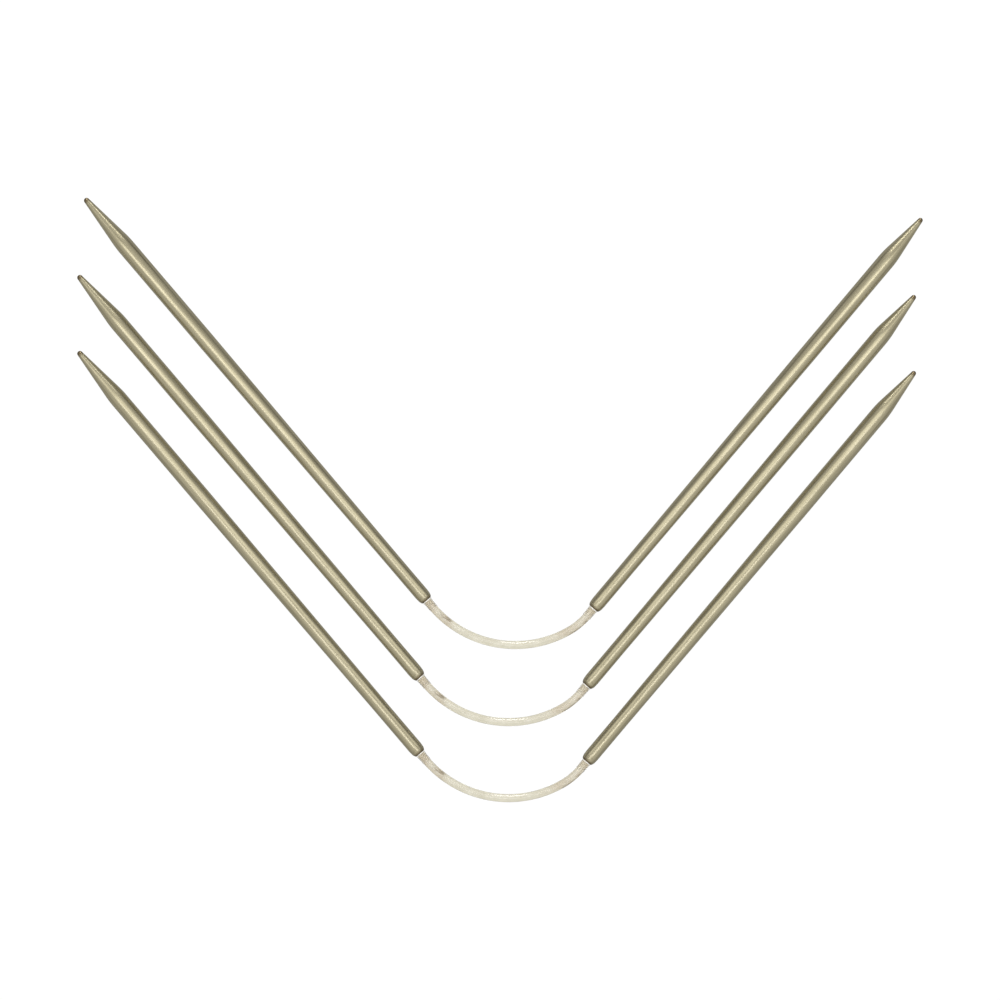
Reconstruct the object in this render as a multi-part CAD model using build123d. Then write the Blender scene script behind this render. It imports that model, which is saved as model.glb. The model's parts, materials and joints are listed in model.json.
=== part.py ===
from build123d import *
import os
from math import asin, atan2, cos, degrees, hypot, radians, sin, sqrt, tan

# Three flexible double-pointed needles, lying nested in one another on a table. Millimetres.
# Each needle is two hollow metal shafts, a plain point on the left one and a finer point on the right
# one, joined mouth to mouth by a short nylon cord. X runs along the row of points, Y away from the
# knitter and Z up, and the origin is on the table, under the centre of the set.

# The set
NEEDLES = ("back", "middle", "front")
NEEDLE_STEPS = ((-1.15, -13.18), (0.0, -13.0))  # from each needle to the next one, towards the knitter
LEFT_SLOPE = 49.6                   # degrees that the left shaft falls towards its cord
SHAFT_ANGLE = 80.5                  # degrees between the two shafts as they lie

# Shafts
GAUGE = 3.0                         # knitting size: the diameter of the working stretch
LEFT_LENGTH = 90.2                  # point to mouth
RIGHT_LENGTH = 87.2
WORKING_LENGTH = 22.0               # stretch of the full gauge behind each point
SHANK_LENGTH = 9.0                  # slim straight stretch before the mouth
SHANK_SLIMMING = 0.25               # the shank's radius is this much under the gauge's
MOUTH_NECK = 1.4                    # length over which the shank draws in to its rim
RIM_STEP = 0.33                     # how far the neck draws in
RIM_WALL = 0.1                      # metal left around the bore at the rim
SHOULDER_BLEND = 18.0               # radius that rounds each long change of slope
NECK_BLEND = 1.2                    # radius that rounds the neck
POINT_BACKING = 3.0                 # solid metal between the bore's end and the working stretch
DRILL_ANGLE = 59.0                  # half the angle of the bore's cone

# Points: how far each one tapers and how round its nose is
LEFT_TAPER = 10.0
LEFT_NOSE = 0.48
RIGHT_TAPER = 8.6
RIGHT_NOSE = 0.42

# Joins between shaft and cord
FIT = 0.02                          # radial clearance of every piece inside another
FERRULE_WALL = 0.08
FERRULE_DEPTH = 5.0                 # how far the ferrule reaches into the bore
COLLAR_LENGTH = 0.2                 # ring of the ferrule that shows outside the mouth
COLLAR_STEP = 0.06                  # the collar's radius is this much under the rim's
FLARE_END = 1.9                     # where the clear flare stops, from the mouth
FLARE_WALL = 0.06                   # its wall at that thin end
FLARE_STEP = 0.04                   # its thick end's radius is this much under the collar's
CORD_ANCHOR = 6.5                   # length of cord held inside each shaft

# Cord: straight as it leaves each mouth, then a wide bend and a tighter one into the right shaft
CORD_STRAIGHT = 1.5
WIDE_RADIUS = 18.6
WIDE_TURN = 79.0
TIGHT_RADIUS = 12.0
HINGES = 8                          # places along the cord where its bending is gathered
HAIRPIN_BEND = 180.0                # bend of the whole cord once the shafts lie side by side

# Worked out from the sizes above
SHANK_RADIUS = GAUGE / 2 - SHANK_SLIMMING
RIM_RADIUS = SHANK_RADIUS - RIM_STEP
BORE_RADIUS = RIM_RADIUS - RIM_WALL
FERRULE_RADIUS = BORE_RADIUS - FIT
FERRULE_BORE = FERRULE_RADIUS - FERRULE_WALL
CORD_RADIUS = FERRULE_BORE - FIT
COLLAR_RADIUS = RIM_RADIUS - COLLAR_STEP
TOTAL_TURN = 180.0 - SHAFT_ANGLE
TIGHT_TURN = TOTAL_TURN - WIDE_TURN
AXIS_HEIGHT = GAUGE / 2             # the shafts rest on the table along their working stretches
OPEN_STEP = TOTAL_TURN / HINGES                                 # degrees a hinge, until straight
CLOSE_STEP = (HAIRPIN_BEND - TOTAL_TURN) / HINGES               # flat on the table, until a hairpin
FOLD_STEP = sqrt(HAIRPIN_BEND**2 - TOTAL_TURN**2) / HINGES      # up off the table, until a hairpin


# The cord's route, from the left mouth at (0, 0) to the right mouth


def route_runs():
    """The route's runs in order, each a length and the degrees that it turns to the left."""
    return [
        (CORD_STRAIGHT, 0.0),
        (WIDE_RADIUS * radians(WIDE_TURN), WIDE_TURN),
        (TIGHT_RADIUS * radians(TIGHT_TURN), TIGHT_TURN),
        (CORD_STRAIGHT, 0.0),
    ]


def route_length():
    return sum(length for length, _ in route_runs())


def step_along(point, heading, length, turn):
    """Where a run of that length and turn leads from a point and heading."""
    if turn == 0:
        x, y = length * cos(radians(heading)), length * sin(radians(heading))
    else:
        radius = length / radians(turn)
        x = radius * (sin(radians(heading + turn)) - sin(radians(heading)))
        y = radius * (cos(radians(heading)) - cos(radians(heading + turn)))
    return (point[0] + x, point[1] + y), heading + turn


def route_at(distance):
    """The point on the route that far from the left mouth, and the heading there in degrees."""
    point, heading = (0.0, 0.0), -LEFT_SLOPE
    for length, turn in route_runs():
        share = min(1.0, distance / length)
        point, heading = step_along(point, heading, length * share, turn * share)
        distance -= length
        if distance <= 0:
            break
    return point, heading


def distance_at_turn(turn):
    """How far along the route the cord has turned by that many degrees."""
    wide = WIDE_RADIUS * radians(min(turn, WIDE_TURN))
    tight = TIGHT_RADIUS * radians(max(turn - WIDE_TURN, 0.0))
    return CORD_STRAIGHT + wide + tight


def hinge_distance(number):
    """Hinges 1 to HINGES stand at equal shares of the turn, so equal angles straighten the cord."""
    return distance_at_turn(TOTAL_TURN * (number - 0.5) / HINGES)


def cord_between(start, end):
    """Solid cord along the route from one distance to another."""
    path, passed = [], 0.0
    for length, turn in route_runs():
        low, high = max(start, passed), min(end, passed + length)
        if high - low > 1e-6:
            (x, y), heading = route_at(low)
            direction = (cos(radians(heading)), sin(radians(heading)))
            if turn == 0:
                path.append(PolarLine((x, y), high - low, heading))
            else:
                radius = length / radians(turn)
                path.append(JernArc((x, y), direction, radius, turn * (high - low) / length))
        passed += length
    (x, y), heading = route_at(start)
    facing = Plane((x, y, 0), z_dir=(cos(radians(heading)), sin(radians(heading)), 0))
    return sweep(facing * Circle(CORD_RADIUS), path=Wire([run.edge() for run in path]))


# Pieces of revolution, drawn with X along their axis and the mouth at zero


def turned(outline):
    """The solid that the closed outline, drawn above the X axis, makes as it turns about it."""
    return revolve(make_face(outline), Axis.X)


def ring(start, end, inner, outer):
    """A plain tube between two places on the axis."""
    return turned(Polyline((start, inner), (end, inner), (end, outer), (start, outer), close=True))


def shaft(length, taper, nose):
    """A hollow shaft: necked mouth, slim shank, slow swell to the gauge, and a tapered round point."""
    shoulder = length - taper
    working_start = shoulder - WORKING_LENGTH
    bore_end = working_start - POINT_BACKING
    reach = hypot(taper - nose, GAUGE / 2)
    slope = atan2(GAUGE / 2, taper - nose) - asin(nose / reach)
    nose_start = (length - nose * (1 - sin(slope)), nose * cos(slope))
    side = FilletPolyline(
        (0, RIM_RADIUS),
        (MOUTH_NECK * 0.25, RIM_RADIUS + RIM_STEP * 0.75),
        (MOUTH_NECK, SHANK_RADIUS),
        (SHANK_LENGTH, SHANK_RADIUS),
        (working_start, GAUGE / 2),
        (shoulder, GAUGE / 2),
        nose_start,
        radius=[NECK_BLEND, NECK_BLEND, SHOULDER_BLEND * 4, SHOULDER_BLEND * 4, SHOULDER_BLEND],
    )
    middle = (length - nose + nose * cos(radians(45)), nose * sin(radians(45)))
    round_nose = ThreePointArc(nose_start, middle, (length, 0))
    inside = Polyline(
        (length, 0),
        (bore_end + BORE_RADIUS / tan(radians(DRILL_ANGLE)), 0),
        (bore_end, BORE_RADIUS),
        (0, BORE_RADIUS),
        (0, RIM_RADIUS),
    )
    return turned([side, round_nose, inside])


def ferrule():
    """The liner between bore and cord, with a bright collar that seats on the rim."""
    spigot = ring(-FERRULE_DEPTH, 0, FERRULE_BORE, FERRULE_RADIUS)
    return spigot + ring(0, COLLAR_LENGTH, FERRULE_BORE, COLLAR_RADIUS)


def flare():
    """The clear trumpet that eases the cord out of its collar."""
    thick = COLLAR_RADIUS - FLARE_STEP
    thin = FERRULE_BORE + FLARE_WALL
    halfway = ((COLLAR_LENGTH + FLARE_END) / 2, thin + (thick - thin) * 0.36)
    bell = ThreePointArc((COLLAR_LENGTH, thick), halfway, (FLARE_END, thin))
    wall = Polyline(
        (FLARE_END, thin), (FLARE_END, FERRULE_BORE), (COLLAR_LENGTH, FERRULE_BORE), (COLLAR_LENGTH, thick)
    )
    return turned([bell, wall])


# Needles


def on_route(distance, facing):
    """Where a turned piece goes on the route, and the way that it faces."""
    (x, y), heading = route_at(distance)
    return Location((x, y, 0), (0, 0, heading + facing))


def needle():
    """Every solid of one needle, with its left mouth at the origin and its axis in the XY plane."""
    end = route_length()
    left_out, right_out = on_route(0, 0), on_route(end, 180)
    left_in, right_in = on_route(0, 180), on_route(end, 0)
    anchor = Pos(-CORD_ANCHOR, 0, 0) * Rot(0, 90, 0) * extrude(Circle(CORD_RADIUS), CORD_ANCHOR)
    first, last = hinge_distance(1), hinge_distance(HINGES)
    solids = {
        "left_shaft": left_in * shaft(LEFT_LENGTH, LEFT_TAPER, LEFT_NOSE),
        "right_shaft": right_in * shaft(RIGHT_LENGTH, RIGHT_TAPER, RIGHT_NOSE),
        "left_ferrule": left_out * ferrule(),
        "right_ferrule": right_out * ferrule(),
        "left_flare": left_out * flare(),
        "right_flare": right_out * flare(),
        "left_cord_end": left_out * anchor + cord_between(0, first),
        "right_cord_end": right_out * anchor + cord_between(last, end),
    }
    for number in range(1, HINGES):
        span = (hinge_distance(number), hinge_distance(number + 1))
        solids[f"cord_{number:02d}"] = cord_between(*span)
    return solids


def needle_set():
    """Every solid of the set by name, and the place of each needle's left mouth."""
    one = needle()
    places = [Vector(0, 0, 0)]
    for step in NEEDLE_STEPS:
        places.append(places[-1] + Vector(*step))
    copies = list(zip(NEEDLES, places))
    boxes = [Pos(place) * solid for _, place in copies for solid in one.values()]
    box = Compound(children=[copy for copy in boxes]).bounding_box()
    centre = box.center()
    nodes, mouths = {}, {}
    for name, place in copies:
        mouths[name] = Vector(place.X - centre.X, place.Y - centre.Y, AXIS_HEIGHT)
        for piece, solid in one.items():
            nodes[f"{name}_{piece}"] = Pos(mouths[name]) * solid
    return nodes, mouths


def main():
    nodes, _ = needle_set()
    os.makedirs("parts", exist_ok=True)
    for name, solid in nodes.items():
        export_step(solid, f"parts/{name}.step")
    swept = sum(nodes[f"front_cord_{n:02d}"].volume for n in range(1, HINGES))
    straight = CORD_RADIUS**2 * 3.14159265 * (hinge_distance(HINGES) - hinge_distance(1))
    print(f"{len(nodes)} solids; cord {2 * CORD_RADIUS:.2f} thick, {route_length():.2f} between the mouths")
    print(f"cord bends: {WIDE_RADIUS} and {TIGHT_RADIUS}; link volume {swept:.3f} of {straight:.3f}")


if __name__ == "__main__":
    main()
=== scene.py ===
"""Three flexible double-pointed needles on a pale table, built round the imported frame."""

import json
import logging
from dataclasses import dataclass
from enum import Enum
from math import asin, atan2, ceil, cos, hypot, pi, radians, sin, tan
from typing import Any, Sequence

import bpy
import numpy as np
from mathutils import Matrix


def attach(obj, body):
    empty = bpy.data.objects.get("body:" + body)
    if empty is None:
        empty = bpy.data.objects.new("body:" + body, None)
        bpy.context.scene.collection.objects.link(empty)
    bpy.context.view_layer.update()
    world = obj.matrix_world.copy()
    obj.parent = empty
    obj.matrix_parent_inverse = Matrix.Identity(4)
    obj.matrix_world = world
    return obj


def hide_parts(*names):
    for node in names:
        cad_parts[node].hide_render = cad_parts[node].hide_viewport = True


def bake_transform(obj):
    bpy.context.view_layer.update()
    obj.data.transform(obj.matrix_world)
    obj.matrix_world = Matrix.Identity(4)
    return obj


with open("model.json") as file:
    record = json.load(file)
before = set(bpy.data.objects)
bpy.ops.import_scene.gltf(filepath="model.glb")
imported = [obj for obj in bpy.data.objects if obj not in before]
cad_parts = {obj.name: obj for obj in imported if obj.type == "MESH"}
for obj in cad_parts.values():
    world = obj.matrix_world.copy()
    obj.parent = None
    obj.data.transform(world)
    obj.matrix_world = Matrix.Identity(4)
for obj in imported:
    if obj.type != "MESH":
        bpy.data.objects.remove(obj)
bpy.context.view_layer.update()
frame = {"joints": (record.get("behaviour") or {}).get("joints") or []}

MM = 0.001                      # sizes below are in millimetres, and meshes are in metres
UV_NAME = "Run"                 # every piece's UV map: millimetres along it and round it
NEEDLES = ("back", "middle", "front")

Colour = tuple[float, float, float]
log = logging.getLogger("needles")


# Shader wiring


class Value:
    """A number that varies over a surface, with arithmetic that adds Math nodes."""

    def __init__(self, wiring: "Wiring", socket: bpy.types.NodeSocket) -> None:
        """Wraps an output socket of one of the wiring's nodes."""
        self.wiring = wiring
        self.socket = socket

    def _math(self, operation: str, first: Any, second: Any) -> "Value":
        """Adds a Math node on two values and wraps its output."""
        node = self.wiring.add("ShaderNodeMath", {"operation": operation}, {0: first, 1: second})
        return Value(self.wiring, node.outputs[0])

    def __add__(self, other: Any) -> "Value":
        """Sum."""
        return self._math("ADD", self, other)

    def __radd__(self, other: Any) -> "Value":
        """Sum, from the right."""
        return self._math("ADD", other, self)

    def __sub__(self, other: Any) -> "Value":
        """Difference."""
        return self._math("SUBTRACT", self, other)

    def __rsub__(self, other: Any) -> "Value":
        """Difference, from the right."""
        return self._math("SUBTRACT", other, self)

    def __mul__(self, other: Any) -> "Value":
        """Product."""
        return self._math("MULTIPLY", self, other)

    def __rmul__(self, other: Any) -> "Value":
        """Product, from the right."""
        return self._math("MULTIPLY", other, self)


class Wiring:
    """A node tree that is being wired up."""

    def __init__(self, tree: bpy.types.NodeTree) -> None:
        """Starts from an empty tree."""
        self.tree = tree
        tree.nodes.clear()

    def add(self, kind: str, settings: dict[str, Any], inputs: dict[Any, Any]) -> bpy.types.Node:
        """Adds any node.

        Args:
            kind: the node's type.
            settings: what is set on the node first.
            inputs: a value, a Value or a socket for each input, by its name or number.

        Returns:
            The node.
        """
        node = self.tree.nodes.new(kind)
        for name, setting in settings.items():
            setattr(node, name, setting)
        for name, given in inputs.items():
            given = given.socket if isinstance(given, Value) else given
            if isinstance(given, bpy.types.NodeSocket):
                self.tree.links.new(given, node.inputs[name])
            elif isinstance(given, tuple) and node.inputs[name].type == "RGBA":
                node.inputs[name].default_value = (*given, 1.0)
            else:
                node.inputs[name].default_value = given
        return node

    def along(self) -> tuple[Value, Value]:
        """Millimetres along the piece and round it, from its own UV map."""
        place = self.add("ShaderNodeUVMap", {"uv_map": UV_NAME}, {})
        parts = self.add("ShaderNodeSeparateXYZ", {}, {0: place.outputs[0]})
        return Value(self, parts.outputs[0]), Value(self, parts.outputs[1])

    def noise(self, scale: Colour, detail: float = 2.0, roughness: float = 0.5) -> Value:
        """Noise over the piece's own UV map, from about 0.25 to 0.75.

        Args:
            scale: lumps for each millimetre along, round and, as a way to draw another pattern, across.
            detail: octaves.
            roughness: share that each octave keeps of the one before.
        """
        place = self.add("ShaderNodeUVMap", {"uv_map": UV_NAME}, {})
        moved = self.add("ShaderNodeMapping", {}, {
            "Vector": place.outputs[0],
            "Location": (0.0, 0.0, scale[2]),
            "Scale": (scale[0], scale[1], 1.0),
        })
        inputs = {"Vector": moved.outputs[0], "Scale": 1.0, "Detail": detail, "Roughness": roughness}
        return Value(self, self.add("ShaderNodeTexNoise", {}, inputs).outputs[0])

    def rise(self, value: Value, low: float, high: float) -> Value:
        """Goes smoothly from 0 where the value is low to 1 where it is high."""
        settings = {"interpolation_type": "SMOOTHSTEP"}
        inputs = {"Value": value, "From Min": low, "From Max": high}
        return Value(self, self.add("ShaderNodeMapRange", settings, inputs).outputs[0])

    def window(self, value: Value, low: float, high: float, soft: float) -> Value:
        """1 between low and high, with soft sides outside them."""
        return self.rise(value, low - soft, low) * (1 - self.rise(value, high, high + soft))

    def mix(self, factor: Any, first: Any, second: Any) -> bpy.types.NodeSocket:
        """A colour between two colours."""
        node = self.add("ShaderNodeMix", {"data_type": "RGBA"}, {0: factor, 6: first, 7: second})
        return node.outputs[2]

    def bump(self, height: Value, depth: float) -> bpy.types.NodeSocket:
        """A normal for relief that is that many millimetres deep."""
        inputs = {"Height": height, "Distance": depth * MM, "Strength": 1.0}
        return self.add("ShaderNodeBump", {}, inputs).outputs[0]

    def finish(self, inputs: dict[str, Any]) -> None:
        """Adds the Principled shader and the output."""
        shader = self.add("ShaderNodeBsdfPrincipled", {}, inputs)
        self.add("ShaderNodeOutputMaterial", {}, {"Surface": shader.outputs[0]})


def new_material(name: str) -> tuple[bpy.types.Material, Wiring]:
    """A new material and the wiring of its nodes."""
    material = bpy.data.materials.new(name)
    material.use_nodes = True
    return material, Wiring(material.node_tree)


# Finishes


@dataclass(frozen=True)
class SatinPlate:
    """Champagne plating over brass, drawn lengthways, mixed to dark brown at the mouth and on the nose.

    At the mouth the dark brown is partly wear to brass and partly painted shade of the gap at the rim;
    on the nose it is painted shade for the nose's dark outline. The tip is that many millimetres from
    the mouth, measured over the surface. The dark brown's runs are in millimetres: from the mouth at
    the rim and for the spots, and back from the tip on the nose.
    """

    name: str
    tip_at: float
    light: Colour = (0.57, 0.52, 0.355)
    dark: Colour = (0.39, 0.35, 0.225)
    # Dark brown for the wear and the painted shade at the mouth, and for the painted shade on the nose.
    shade_and_wear_brown: Colour = (0.14, 0.095, 0.045)
    roughness: float = 0.29
    grain: float = 0.0016
    # Dark brown at the mouth, partly wear to brass and partly painted shade of the gap at the rim.
    rim_shade_and_wear: float = 0.85
    rim_shade_and_wear_run: tuple[float, float] = (0.05, 0.5)
    spot_shade_and_wear: float = 0.6
    spot_run: tuple[float, float, float] = (0.0, 0.9, 0.5)
    # Painted shade on the nose: dark brown standing in for the rounded end's dark outline.
    nose_shade: float = 0.8
    nose_shade_run: tuple[float, float] = (1.4, 0.7)

    def material(self) -> bpy.types.Material:
        """Builds the finish."""
        material, wiring = new_material(self.name)
        along, _ = wiring.along()
        streaks = wiring.noise((0.07, 4.2, 3.0), detail=3.0, roughness=0.65)
        clouds = wiring.noise((0.12, 0.35, 11.0), detail=2.0)
        specks = wiring.noise((3.5, 5.5, 23.0), detail=2.0, roughness=0.6)
        tone = 0.5 + 1.9 * (streaks - 0.5) + 0.8 * (clouds - 0.5) + 0.5 * (specks - 0.5)
        plate = wiring.mix(tone, self.dark, self.light)
        # Dark brown band at the rim, partly wear to brass and partly painted shade of the gap at the mouth.
        rim = self.rim_shade_and_wear * (1 - wiring.rise(along + 1.2 * (specks - 0.5), *self.rim_shade_and_wear_run))
        # Blotches of the same dark brown on the neck by the mouth, partly wear and partly painted shade of
        # the gap.
        spots = self.spot_shade_and_wear * wiring.window(along, *self.spot_run) * wiring.rise(specks, 0.54, 0.64)
        # Painted shade on the nose: dark brown over roughly its last millimetre, standing in for its dark
        # outline.
        start, full = (self.tip_at - back for back in self.nose_shade_run)
        nose = self.nose_shade * wiring.rise(along + 0.4 * (specks - 0.5), start, full)
        # Mixes the plate towards dark brown for the wear and painted shade at the mouth and the painted shade
        # on the nose.
        worn_and_shaded = wiring.mix(rim + spots + nose, plate, self.shade_and_wear_brown)
        rough = self.roughness + 0.14 * (streaks - 0.5) + 0.06 * (specks - 0.5)
        relief = wiring.bump(streaks, self.grain)
        wiring.finish({"Base Color": worn_and_shaded, "Roughness": rough, "Metallic": 1.0, "Normal": relief})
        return material


@dataclass(frozen=True)
class TurnedSteel:
    """Bright steel with the fine rings that a lathe leaves."""

    bright: Colour = (0.97, 0.95, 0.90)
    dull: Colour = (0.80, 0.76, 0.66)
    roughness: float = 0.42
    metallic: float = 0.5
    ring_depth: float = 0.004

    def material(self) -> bpy.types.Material:
        """Builds the finish."""
        material, wiring = new_material("turned_steel")
        rings = wiring.noise((22.0, 0.15, 5.0), detail=2.0)
        stain = wiring.noise((2.0, 1.6, 17.0), detail=2.0)
        metal = wiring.mix(1.8 * (rings - 0.5) + stain, self.dull, self.bright)
        wiring.finish({
            "Base Color": metal,
            "Roughness": self.roughness + 0.2 * (rings - 0.5),
            "Metallic": self.metallic,
            "Normal": wiring.bump(rings, self.ring_depth),
        })
        return material


@dataclass(frozen=True)
class ClearJoin:
    """The clear adhesive-smooth plastic of a flare, a little straw-coloured where it is thick."""

    clear: Colour = (0.98, 0.97, 0.95)
    straw: Colour = (0.96, 0.93, 0.86)
    roughness: float = 0.28
    index: float = 1.34
    ripple: float = 0.003

    def material(self) -> bpy.types.Material:
        """Builds the finish."""
        material, wiring = new_material("clear_join")
        along, _ = wiring.along()
        clouds = wiring.noise((1.1, 0.9, 7.0), detail=3.0, roughness=0.6)
        thick = 1 - wiring.rise(along + 0.8 * (clouds - 0.5), 0.3, 1.8)
        body = wiring.mix(thick, self.clear, self.straw)
        wiring.finish({
            "Base Color": body,
            "Roughness": self.roughness + 0.15 * (clouds - 0.5),
            "IOR": self.index,
            "Transmission Weight": 1.0,
            "Normal": wiring.bump(clouds, self.ripple),
        })
        return material


@dataclass(frozen=True)
class CordNylon:
    """Drawn nylon cord: milky clear, with drawing lines, straw-coloured ends and brown traces of glue.

    Windows are in millimetres from the left mouth or round the cord, with the softness of their sides.
    """

    clear: Colour = (0.82, 0.79, 0.67)
    cream: Colour = (0.64, 0.60, 0.46)
    straw: Colour = (0.63, 0.56, 0.43)
    glue: Colour = (0.13, 0.09, 0.045)
    roughness: float = 0.15
    index: float = 1.53
    transmission: float = 0.9
    line_depth: float = 0.003
    left_end: tuple[float, float] = (4.5, 8.5)
    right_end: tuple[float, float] = (22.0, 27.0)
    smudge_along: tuple[float, float, float] = (3.4, 5.3, 0.9)
    smudge_around: tuple[float, float, float] = (0.9, 2.0, 0.5)
    dashes_along: tuple[float, float, float] = (26.6, 30.4, 0.7)
    dashes_around: tuple[float, float, float] = (2.75, 3.4, 0.35)

    def material(self) -> bpy.types.Material:
        """Builds the finish."""
        material, wiring = new_material("cord_nylon")
        along, around = wiring.along()
        lines = wiring.noise((0.25, 6.0, 2.0), detail=3.0, roughness=0.6)
        clouds = wiring.noise((0.5, 0.8, 9.0), detail=2.0)
        flecks = wiring.noise((0.7, 2.6, 31.0), detail=2.0, roughness=0.55)
        body = wiring.mix(0.5 + 1.2 * (lines - 0.5) + 1.2 * (clouds - 0.5), self.clear, self.cream)
        ends = (1 - wiring.rise(along, *self.left_end)) + 0.9 * wiring.rise(along, *self.right_end)
        held = wiring.mix(ends * wiring.rise(clouds, 0.3, 0.6), body, self.straw)
        smudge = wiring.window(along, *self.smudge_along) * wiring.window(around, *self.smudge_around)
        dashes = wiring.window(along, *self.dashes_along) * wiring.window(around, *self.dashes_around)
        marks = smudge * wiring.rise(flecks, 0.42, 0.6) + dashes * wiring.rise(flecks, 0.46, 0.56)
        tinted = wiring.mix(0.8 * marks, held, self.glue)
        wiring.finish({
            "Base Color": tinted,
            "Roughness": self.roughness + 0.2 * (lines - 0.5),
            "IOR": self.index,
            "Transmission Weight": self.transmission,
            "Normal": wiring.bump(lines, self.line_depth),
        })
        return material


# Surfaces


class Closure(Enum):
    """How a surface ends: its first or last row may be a point, or the two may join into a loop."""

    FIRST_POLE = "first pole"
    LAST_POLE = "last pole"
    POLES = "poles"
    LOOP = "loop"
    OPEN = "open"


QUAD = ((0, 0), (0, 1), (1, 1), (1, 0))
FIRST_FAN = ((0, 0), (1, 1), (1, 0))
LAST_FAN = ((0, 0), (0, 1), (1, 1))


def carried(centres: np.ndarray, headings: np.ndarray, radii: np.ndarray, columns: int) -> np.ndarray:
    """Rings carried along a level path.

    A point of a ring is the path's point, plus its radius times the cosine of a turn to the left of
    the path and the sine of it upwards, as the turn goes once round from the underside.

    Args:
        centres: the path's points, one row each.
        headings: the way of the path at each point, in radians.
        radii: each ring's radius.
        columns: points in a ring.

    Returns:
        An array of rows, columns and coordinates.
    """
    turn = np.linspace(-0.5 * pi, 1.5 * pi, columns, endpoint=False)[None, :, None]
    left = np.stack([-np.sin(headings), np.cos(headings), np.zeros_like(headings)], -1)[:, None, :]
    spokes = np.cos(turn) * left + np.sin(turn) * np.array([0.0, 0.0, 1.0])
    return centres[:, None, :] + radii[:, None, None] * spokes


def skin(name: str, rings: np.ndarray, along: np.ndarray, girth: float, closure: Closure) -> bpy.types.Object:
    """Makes the mesh of a surface that is given as rings.

    Neighbouring rings are joined by quads, wound so that they face away from a path that runs with
    the rows. A pole's ring is one point with a fan round it.

    Args:
        name: the piece's name.
        rings: rows, columns and coordinates, in millimetres.
        along: each row's place on the UV map, in millimetres.
        girth: what once round measures on the UV map.
        closure: how the first and last rows end.

    Returns:
        The piece, in the scene.
    """
    rows, columns, _ = rings.shape
    first = closure in (Closure.FIRST_POLE, Closure.POLES)
    last = closure in (Closure.LAST_POLE, Closure.POLES)
    body = rings[int(first):rows - int(last)].reshape(-1, 3)
    points = [rings[0, :1]] * first + [body] + [rings[-1, :1]] * last
    ids = np.arange(rows * columns).reshape(rows, columns) - int(first) * (columns - 1)
    if first:
        ids[0] = 0
    if last:
        ids[-1] = ids[-1, 0]
    if closure is Closure.LOOP:
        ids = np.concatenate([ids, ids[:1]])
        closing = np.linalg.norm(rings[0, 0] - rings[-1, 0])
        along = np.append(along, along[-1] + closing)
    ids = np.concatenate([ids, ids[:, :1]], axis=1)
    bands = len(ids) - 1
    across = np.linspace(0.0, girth, columns + 1)

    vertices, places, sizes = [], [], []
    fans = [(0, 1, FIRST_FAN)] * first + [(bands - 1, bands, LAST_FAN)] * last
    for low, high, corners in [(int(first), bands - int(last), QUAD)] + fans:
        row, column = np.mgrid[low:high, 0:columns]
        row = row.reshape(-1, 1) + np.array([corner[0] for corner in corners])
        column = column.reshape(-1, 1) + np.array([corner[1] for corner in corners])
        vertices.append(ids[row, column].ravel())
        places.append(np.stack([along[row], across[column]], -1).reshape(-1, 2))
        sizes.append(np.full(len(row), len(corners)))
    starts = np.concatenate([[0], np.cumsum(np.concatenate(sizes))[:-1]])
    corners_in_all = np.concatenate(vertices)

    mesh = bpy.data.meshes.new(name)
    flat = (np.concatenate(points) * MM).astype(np.float32)
    mesh.vertices.add(len(flat))
    mesh.vertices.foreach_set("co", flat.ravel())
    mesh.loops.add(len(corners_in_all))
    mesh.loops.foreach_set("vertex_index", corners_in_all.astype(np.int32))
    mesh.polygons.add(len(starts))
    mesh.polygons.foreach_set("loop_start", starts.astype(np.int32))
    mesh.update(calc_edges=True)
    layer = mesh.uv_layers.new(name=UV_NAME)
    layer.uv.foreach_set("vector", np.concatenate(places).astype(np.float32).ravel())
    mesh.shade_smooth()
    piece = bpy.data.objects.new(name, mesh)
    bpy.context.scene.collection.objects.link(piece)
    return piece


@dataclass(frozen=True)
class Outline:
    """The section of a turned piece: corners of place on the axis, radius, and the arc that rounds it."""

    corners: Sequence[tuple[float, float, float]]
    closed: bool = False
    step: float = 0.75
    arc_steps: int = 6

    def _arc(self, before: np.ndarray, corner: np.ndarray, after: np.ndarray, radius: float) -> np.ndarray:
        """The arc that rounds one corner.

        With unit ways a into the corner and b out of it, and t the turn between them, the arc starts
        radius times tan(t / 2) before the corner. After a turn s it has gone radius times sin(s)
        along a and radius times (1 - cos(s)) to the side of the turn.
        """
        way_in = (corner - before) / np.linalg.norm(corner - before)
        way_out = (after - corner) / np.linalg.norm(after - corner)
        left = np.array([-way_in[1], way_in[0]])
        side = left * np.sign(left @ way_out)
        turn = np.arccos(np.clip(way_in @ way_out, -1.0, 1.0))
        start = corner - way_in * radius * tan(turn / 2)
        swept = np.linspace(0.0, turn, 1 + max(self.arc_steps, ceil(turn / radians(6))))[:, None]
        return start + radius * (np.sin(swept) * way_in + (1 - np.cos(swept)) * side)

    def points(self) -> np.ndarray:
        """The outline's points, arcs and divided straight stretches together."""
        marks = np.array([corner[:2] for corner in self.corners], float)
        count = len(marks)
        parts = []
        for i, (_, _, radius) in enumerate(self.corners):
            inner = self.closed or 0 < i < count - 1
            if radius > 0 and inner:
                parts.append(self._arc(marks[i - 1], marks[i], marks[(i + 1) % count], radius))
            else:
                parts.append(marks[i:i + 1])
        line = [parts[0]]
        for part in parts[1:] + ([parts[0][:1]] if self.closed else []):
            gap = np.linalg.norm(part[0] - line[-1][-1])
            shares = np.linspace(0.0, 1.0, 1 + max(1, ceil(gap / self.step)))[1:-1, None]
            line += [line[-1][-1] + (part[0] - line[-1][-1]) * shares, part]
        line = np.concatenate(line)
        if self.closed:
            line = line[:-1]
        moved = np.linalg.norm(np.diff(line, axis=0), axis=1) > 1e-6
        return line[np.append(True, moved)]


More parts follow.
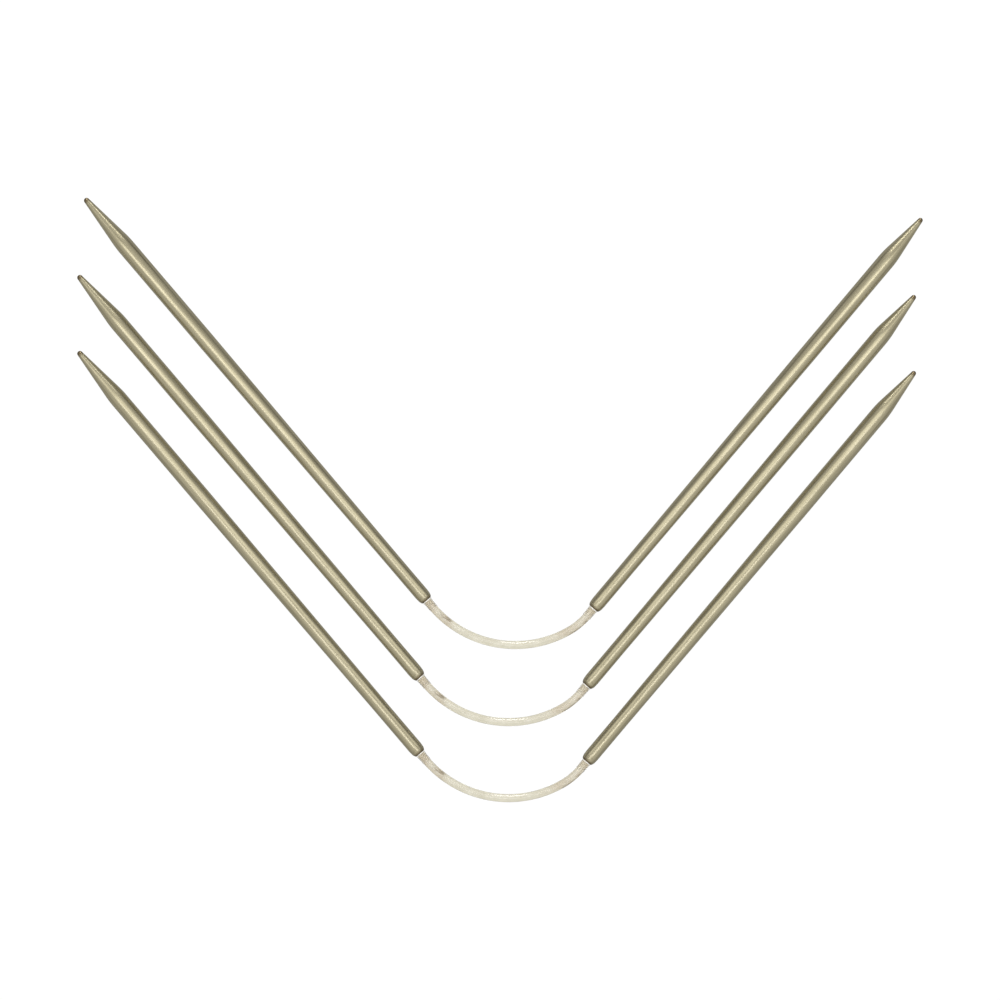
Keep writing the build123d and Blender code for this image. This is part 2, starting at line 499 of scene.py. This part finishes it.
@dataclass(frozen=True)
class Place:
    """Where a turned piece stands: its origin in millimetres, and the way of its axis in radians."""

    origin: np.ndarray
    heading: float

    def turned(self, name: str, outline: Outline, girth: float, closure: Closure, zero: float,
               columns: int) -> bpy.types.Object:
        """Turns an outline about the axis.

        Args:
            name: the piece's name.
            outline: the section, with its outer side running along the axis.
            girth: what once round measures on the UV map.
            closure: how the outline ends.
            zero: the outline's length at which the UV map starts.
            columns: points round the piece.

        Returns:
            The piece.
        """
        line = outline.points()
        way = np.array([cos(self.heading), sin(self.heading), 0.0])
        centres = self.origin + line[:, :1] * way
        headings = np.full(len(line), self.heading)
        steps = np.linalg.norm(np.diff(line, axis=0), axis=1)
        along = np.concatenate([[0.0], np.cumsum(steps)]) - zero
        return skin(name, carried(centres, headings, line[:, 1], columns), along, girth, closure)


# The needle's parts


@dataclass(frozen=True)
class Shaft:
    """A hollow plated shaft, from its necked mouth to its point."""

    length: float
    taper: float
    nose: float
    gauge: float = 3.0
    working: float = 22.0
    shank: float = 9.0
    shank_radius: float = 1.25
    neck: float = 1.4
    rim_radius: float = 0.92
    bore_radius: float = 0.82
    bore_backing: float = 3.0
    drill_angle: float = 59.0
    lip: float = 0.04
    neck_blend: float = 1.2
    long_blend: float = 72.0
    shoulder_blend: float = 18.0
    columns: int = 96

    def outline(self) -> Outline:
        """The wall's section, from the drilled end of the bore, round the mouth, to the nose.

        The taper is the line from the shoulder that touches the nose's ball, so its slope is the
        slope to the ball's middle less the angle that the ball fills there.
        """
        radius = self.gauge / 2
        shoulder = self.length - self.taper
        start = shoulder - self.working
        bore = start - self.bore_backing
        reach = hypot(self.taper - self.nose, radius)
        slope = atan2(radius, self.taper - self.nose) - asin(self.nose / reach)
        tip = self.nose * tan((pi / 2 - slope) / 2)
        step = self.shank_radius - self.rim_radius
        return Outline((
            (bore + self.bore_radius / tan(radians(self.drill_angle)), 0.0, 0.0),
            (bore, self.bore_radius, self.lip),
            (0.0, self.bore_radius, self.lip),
            (0.0, self.rim_radius, self.lip),
            (self.neck * 0.25, self.rim_radius + 0.75 * step, self.neck_blend),
            (self.neck, self.shank_radius, self.neck_blend),
            (self.shank, self.shank_radius, self.long_blend),
            (start, radius, self.long_blend),
            (shoulder, radius, self.shoulder_blend),
            (self.length, tip, self.nose),
            (self.length, 0.0, 0.0),
        ))

    def runs(self) -> tuple[float, float]:
        """How far over the surface it is from the bore's end to the rim, and from the rim to the tip."""
        line = self.outline().points()
        steps = np.linalg.norm(np.diff(line, axis=0), axis=1)
        at_mouth = int(np.argmax(line[:, 0] <= 1e-6))
        inside = float(steps[:at_mouth].sum()) + self.rim_radius - self.bore_radius
        return inside, float(steps.sum()) - inside

    def build(self, name: str, place: Place) -> bpy.types.Object:
        """Builds the shaft with its mouth at the place."""
        inside, _ = self.runs()
        return place.turned(name, self.outline(), pi * self.gauge, Closure.POLES, inside, self.columns)


@dataclass(frozen=True)
class Ferrule:
    """The liner that holds the cord in the bore, with the bright collar that shows at the mouth."""

    depth: float = 5.0
    bore: float = 0.72
    radius: float = 0.80
    collar_length: float = 0.2
    collar_radius: float = 0.86
    seat: float = 0.005
    edge: float = 0.035

    def build(self, name: str, place: Place) -> bpy.types.Object:
        """Builds the ferrule, its spigot behind the mouth and its collar before it."""
        outline = Outline((
            (-self.depth, self.bore, 0.02),
            (-self.depth, self.radius, 0.02),
            (self.seat, self.radius, 0.0),
            (self.seat, self.collar_radius, self.edge),
            (self.collar_length, self.collar_radius, self.edge * 1.8),
            (self.collar_length, self.bore, 0.02),
        ), closed=True, step=0.25)
        return place.turned(name, outline, 2 * pi * self.radius, Closure.LOOP, 0.0, 96)


@dataclass(frozen=True)
class Flare:
    """The clear trumpet that eases the cord out of its collar."""

    start: float = 0.205
    end: float = 1.9
    wide: float = 0.82
    waist: float = 0.785
    waist_at: float = 0.75
    thin: float = 0.77
    bore: float = 0.722
    sweep: float = 4.2

    def build(self, name: str, place: Place) -> bpy.types.Object:
        """Builds the flare from the collar outwards."""
        outline = Outline((
            (self.start, self.bore, 0.01),
            (self.start, self.wide, 0.02),
            (self.waist_at, self.waist, self.sweep),
            (self.end, self.thin, 0.02),
            (self.end, self.bore, 0.01),
        ), closed=True, step=0.1)
        return place.turned(name, outline, 2 * pi * self.waist, Closure.LOOP, 0.0, 96)


@dataclass(frozen=True)
class Cord:
    """A needle's cord and the route of its middle from the left mouth to the right one."""

    slope: float = -49.6
    straight: float = 1.5
    wide_radius: float = 18.6
    wide_turn: float = 79.0
    tight_radius: float = 12.0
    tight_turn: float = 20.5
    anchor: float = 6.5
    radius: float = 0.70
    edge: float = 0.06
    row: float = 0.16
    columns: int = 64

    def runs(self) -> list[tuple[float, float]]:
        """The route's runs in order, each a length and the radians that it turns to the left."""
        wide, tight = radians(self.wide_turn), radians(self.tight_turn)
        bends = [(self.wide_radius * wide, wide), (self.tight_radius * tight, tight)]
        return [(self.straight, 0.0), *bends, (self.straight, 0.0)]

    def length(self) -> float:
        """The cord's length between the mouths."""
        return sum(length for length, _ in self.runs())

    def turn(self) -> float:
        """The whole route's turn, in degrees."""
        return self.wide_turn + self.tight_turn

    def distance_at(self, turn: float) -> float:
        """How far along the route it has turned by that many degrees."""
        wide = self.wide_radius * radians(min(turn, self.wide_turn))
        return self.straight + wide + self.tight_radius * radians(max(turn - self.wide_turn, 0.0))

    def route(self, distance: np.ndarray) -> tuple[np.ndarray, np.ndarray]:
        """The route's points and headings at those distances from the left mouth.

        A stretch of a run leads along its chord: the stretch's length times the sine of half its
        turn over that half turn, in the way of the middle of the stretch. The runs' chords add up,
        and the first and last runs carry on straight beyond the mouths.
        """
        runs = self.runs()
        heading = np.full(distance.shape, radians(self.slope))
        point = np.zeros((*distance.shape, 2))
        passed = 0.0
        for number, (length, turn) in enumerate(runs):
            low = -np.inf if number == 0 else 0.0
            high = np.inf if number == len(runs) - 1 else length
            stretch = np.clip(distance - passed, low, high)
            half = stretch * turn / length / 2
            way = np.stack([np.cos(heading + half), np.sin(heading + half)], -1)
            point += (stretch * np.sinc(half / pi))[:, None] * way
            heading = heading + 2 * half
            passed += length
        return point, heading

    def place(self, mouth: np.ndarray, distance: float, facing: float = 0.0) -> Place:
        """Where a turned piece stands on the route, and the way that it faces, in degrees."""
        point, heading = self.route(np.array([distance]))
        return Place(mouth + np.append(point[0], 0.0), float(heading[0]) + radians(facing))

    def build(self, name: str, mouth: np.ndarray, low: float, high: float,
              closure: Closure) -> bpy.types.Object:
        """Builds one stretch of the cord.

        Args:
            name: the piece's name.
            mouth: the left mouth, in millimetres.
            low: where the stretch starts, in millimetres from the left mouth.
            high: where it ends.
            closure: which end is a closed one, with a rounded edge.

        Returns:
            The piece.
        """
        rows = 1 + ceil((high - low) / self.row)
        distance = np.linspace(low, high, rows)
        radii = np.full(rows, self.radius)
        turn = np.linspace(0.0, pi / 2, 5)
        rounded = self.radius - self.edge + self.edge * np.sin(turn)
        inwards = self.edge * (1 - np.cos(turn))
        if closure is Closure.FIRST_POLE:
            distance = np.concatenate([[low], low + inwards, distance[1:]])
            radii = np.concatenate([[0.0], rounded, radii[1:]])
        elif closure is Closure.LAST_POLE:
            distance = np.concatenate([distance[:-1], (high - inwards)[::-1], [high]])
            radii = np.concatenate([radii[:-1], rounded[::-1], [0.0]])
        flat, headings = self.route(distance)
        centres = mouth + np.concatenate([flat, np.zeros((len(flat), 1))], axis=1)
        rings = carried(centres, headings, radii, self.columns)
        return skin(name, rings, distance, 2 * pi * self.radius, closure)


SHAFTS = {
    "left": Shaft(length=90.2, taper=10.0, nose=0.48),
    "right": Shaft(length=87.2, taper=8.6, nose=0.42),
}


@dataclass(frozen=True)
class Finishes:
    """The set's materials, with the plating of the left shafts and of the right ones."""

    plate: dict[str, bpy.types.Material]
    steel: bpy.types.Material
    join: bpy.types.Material
    nylon: bpy.types.Material


class Needle:
    """One needle of the set, with its two shafts, its joins and its cord."""

    def __init__(self, name: str, finishes: Finishes) -> None:
        """Finds the needle's hinges and its left mouth in the frame."""
        self.name = name
        self.finishes = finishes
        self.cord = Cord()
        hinges = [joint for joint in frame["joints"] if joint["type"] == "hinge"]
        self.hinges = [joint for joint in hinges if joint["child"].startswith(f"{name}_")]
        first = self.cord.distance_at(self.cord.turn() * 0.5 / len(self.hinges))
        point, _ = self.cord.route(np.array([first]))
        self.mouth = np.array(self.hinges[0]["pos_m"]) / MM - np.append(point[0], 0.0)

    def dress(self, piece: bpy.types.Object, finish: bpy.types.Material) -> bpy.types.Object:
        """Gives a piece its finish and logs its count of faces."""
        piece.data.materials.append(finish)
        log.info("%s: %d faces", piece.name, len(piece.data.polygons))
        return piece

    def build_side(self, side: str, distance: float, outwards: float) -> None:
        """Builds a shaft and its join.

        Args:
            side: left or right.
            distance: the mouth's place on the route.
            outwards: degrees from the route's way there to the way out of the shaft.
        """
        stem = f"{self.name}_{side}"
        into = self.cord.place(self.mouth, distance, outwards + 180)
        out = self.cord.place(self.mouth, distance, outwards)
        plate, steel, join = self.finishes.plate[side], self.finishes.steel, self.finishes.join
        made = (
            (SHAFTS[side].build(f"{stem}_plated_shaft", into), "shaft", plate, "shaft_metal"),
            (Ferrule().build(f"{stem}_collar_ferrule", out), "ferrule", steel, "ferrule_steel"),
            (Flare().build(f"{stem}_clear_flare", out), "flare", join, "join_nylon"),
        )
        for piece, node, finish, slot in made:
            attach(self.dress(piece, finish), stem)
            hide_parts(f"{stem}_{node}")

    def build_cord(self) -> None:
        """Builds the cord's two held ends, and one stretch of it for each hinge, laid along the route at
        rest.
        """
        cord, count = self.cord, len(self.hinges)
        seams = [cord.distance_at(cord.turn() * number / count) for number in range(count + 1)]
        ends = (
            ("left", -cord.anchor, seams[0], Closure.FIRST_POLE),
            ("right", seams[-1], cord.length() + cord.anchor, Closure.LAST_POLE),
        )
        for side, low, high, closure in ends:
            piece = cord.build(f"{self.name}_{side}_cord_root", self.mouth, low, high, closure)
            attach(self.dress(piece, self.finishes.nylon), f"{self.name}_{side}")
            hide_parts(f"{self.name}_{side}_cord_end")
        for number, hinge in enumerate(self.hinges):
            low, high = seams[number], seams[number + 1]
            piece = cord.build(f"{self.name}_cord_bend_{number + 1}", self.mouth, low, high, Closure.OPEN)
            self.dress(piece, self.finishes.nylon)
            start, end = (cord.place(self.mouth, distance).origin * MM for distance in (low, high))
            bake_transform(piece)
            if number + 1 < count:
                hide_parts(f"{self.name}_cord_{number + 1:02d}")

    def build(self) -> None:
        """Builds the whole needle."""
        self.build_side("left", 0.0, 0.0)
        self.build_side("right", self.cord.length(), 180.0)
        self.build_cord()


# The table, the lights and the camera


@dataclass(frozen=True)
class SoftBox:
    """A soft rectangular light that faces the needles.

    The tilt leans it from overhead towards a compass way, both in degrees, the way from +X. The
    distance and the size, which is along the lean and across it, are in metres.
    """

    name: str
    tilt: float
    way: float
    distance: float
    size: tuple[float, float]
    radiance: float
    colour: Colour = (1.0, 1.0, 1.0)

    def build(self) -> None:
        """Adds the light; its power is its radiance times its area times pi."""
        light = bpy.data.lights.new(self.name, "AREA")
        light.shape = "RECTANGLE"
        light.size, light.size_y = self.size
        light.energy = self.radiance * self.size[0] * self.size[1] * pi
        light.color = self.colour
        lamp = bpy.data.objects.new(self.name, light)
        tilt, way = radians(self.tilt), radians(self.way)
        lamp.location = (
            self.distance * sin(tilt) * cos(way),
            self.distance * sin(tilt) * sin(way),
            self.distance * cos(tilt),
        )
        lamp.rotation_euler = (0.0, tilt, way)
        lamp.visible_camera = False
        bpy.context.scene.collection.objects.link(lamp)


@dataclass(frozen=True)
class Studio:
    """A white table under soft light, seen from straight above."""

    table: float = 6.0
    table_marks: int = 13
    table_roughness: float = 0.9
    glow: float = 0.98
    glow_to_gloss: float = 0.41
    albedo: float = 0.04
    surround: float = 0.95
    horizon_to_gloss: float = 0.36
    zenith_to_gloss: float = 0.78
    front_to_gloss: float = 0.27
    view_width: float = 171.3
    view_height: float = 900.0
    sensor: float = 36.0

    def mirrored(self, wiring: Wiring) -> Value:
        """1 for what a surface mirrors, and 0 for what is seen straight or through a clear piece."""
        rays = wiring.add("ShaderNodeLightPath", {}, {})
        gloss = Value(wiring, rays.outputs["Is Glossy Ray"])
        return gloss * (1 - Value(wiring, rays.outputs["Is Transmission Ray"]))

    def build_table(self) -> None:
        """Adds the table's top, a level sheet that glows as a light table does.

        Its glow is weaker to gloss, as it is when dark cards stand just outside the picture.
        """
        half = self.table / 2
        mesh = bpy.data.meshes.new("table_top")
        side = np.linspace(-half, half, self.table_marks)
        x, y = np.meshgrid(side, side)
        points = np.stack([x, y, np.zeros_like(x)], -1).reshape(-1, 3)
        ids = np.arange(len(points)).reshape(x.shape)
        quads = np.stack([ids[:-1, :-1], ids[:-1, 1:], ids[1:, 1:], ids[1:, :-1]], -1).reshape(-1, 4)
        mesh.from_pydata(points.tolist(), [], quads.tolist())
        top = bpy.data.objects.new("table_top", mesh)
        bpy.context.scene.collection.objects.link(top)
        material, wiring = new_material("white_table")
        level = self.glow - (self.glow - self.glow_to_gloss) * self.mirrored(wiring)
        wiring.finish({
            "Base Color": (self.albedo,) * 3,
            "Roughness": self.table_roughness,
            "Specular IOR Level": 0.0,
            "Emission Color": (1.0, 1.0, 1.0),
            "Emission Strength": level,
        })
        top.data.materials.append(material)

    def build_surround(self) -> None:
        """Adds the pale room beyond the table."""
        world = bpy.data.worlds.new("pale_room")
        world.use_nodes = True
        wiring = Wiring(world.node_tree)
        way = wiring.add("ShaderNodeTexCoord", {}, {}).outputs["Generated"]
        parts = wiring.add("ShaderNodeSeparateXYZ", {}, {0: way})
        back, up = Value(wiring, parts.outputs[1]), Value(wiring, parts.outputs[2])
        rise = self.zenith_to_gloss - self.horizon_to_gloss
        dome = self.horizon_to_gloss + rise * wiring.rise(up, 0.0, 1.0) - self.front_to_gloss * back
        level = self.surround - (self.surround - dome) * self.mirrored(wiring)
        room = wiring.add("ShaderNodeBackground", {}, {"Color": (1.0, 1.0, 1.0), "Strength": level})
        wiring.add("ShaderNodeOutputWorld", {}, {"Surface": room.outputs[0]})
        bpy.context.scene.world = world

    def build_lights(self) -> None:
        """Adds a key light overhead, a long strip behind it, and a low card that edges the cords."""
        boxes = (
            SoftBox("key_light", tilt=9.0, way=-90.0, distance=0.8, size=(0.12, 0.64), radiance=2.3,
                    colour=(1.0, 1.01, 1.12)),
            SoftBox("back_strip", tilt=14.0, way=90.0, distance=0.11, size=(0.04, 0.24), radiance=0.85),
            SoftBox("cord_card", tilt=66.0, way=90.0, distance=0.6, size=(0.40, 0.18), radiance=9.0),
        )
        for box in boxes:
            box.build()

    def build_camera(self) -> None:
        """Adds the camera, straight above the origin with the picture's up along +Y."""
        camera = bpy.data.cameras.new("camera")
        camera.sensor_width = self.sensor
        camera.lens = self.sensor * self.view_height / self.view_width
        seen_from = bpy.data.objects.new("camera", camera)
        seen_from.location = (0.0, 0.0, self.view_height * MM)
        bpy.context.scene.collection.objects.link(seen_from)
        bpy.context.scene.camera = seen_from
        bpy.context.scene.view_settings.view_transform = "Standard"

    def build(self) -> None:
        """Builds everything round the needles."""
        self.build_table()
        self.build_surround()
        self.build_lights()
        self.build_camera()


def main() -> None:
    """Builds the studio and the three needles."""
    logging.basicConfig(level=logging.INFO, format="%(message)s")
    Studio().build()
    plates = {side: SatinPlate(f"{side}_plating", shaft.runs()[1]) for side, shaft in SHAFTS.items()}
    finishes = Finishes(
        plate={side: plate.material() for side, plate in plates.items()},
        steel=TurnedSteel().material(),
        join=ClearJoin().material(),
        nylon=CordNylon().material(),
    )
    for name in NEEDLES:
        Needle(name, finishes).build()


if __name__ == "__main__":
    main()
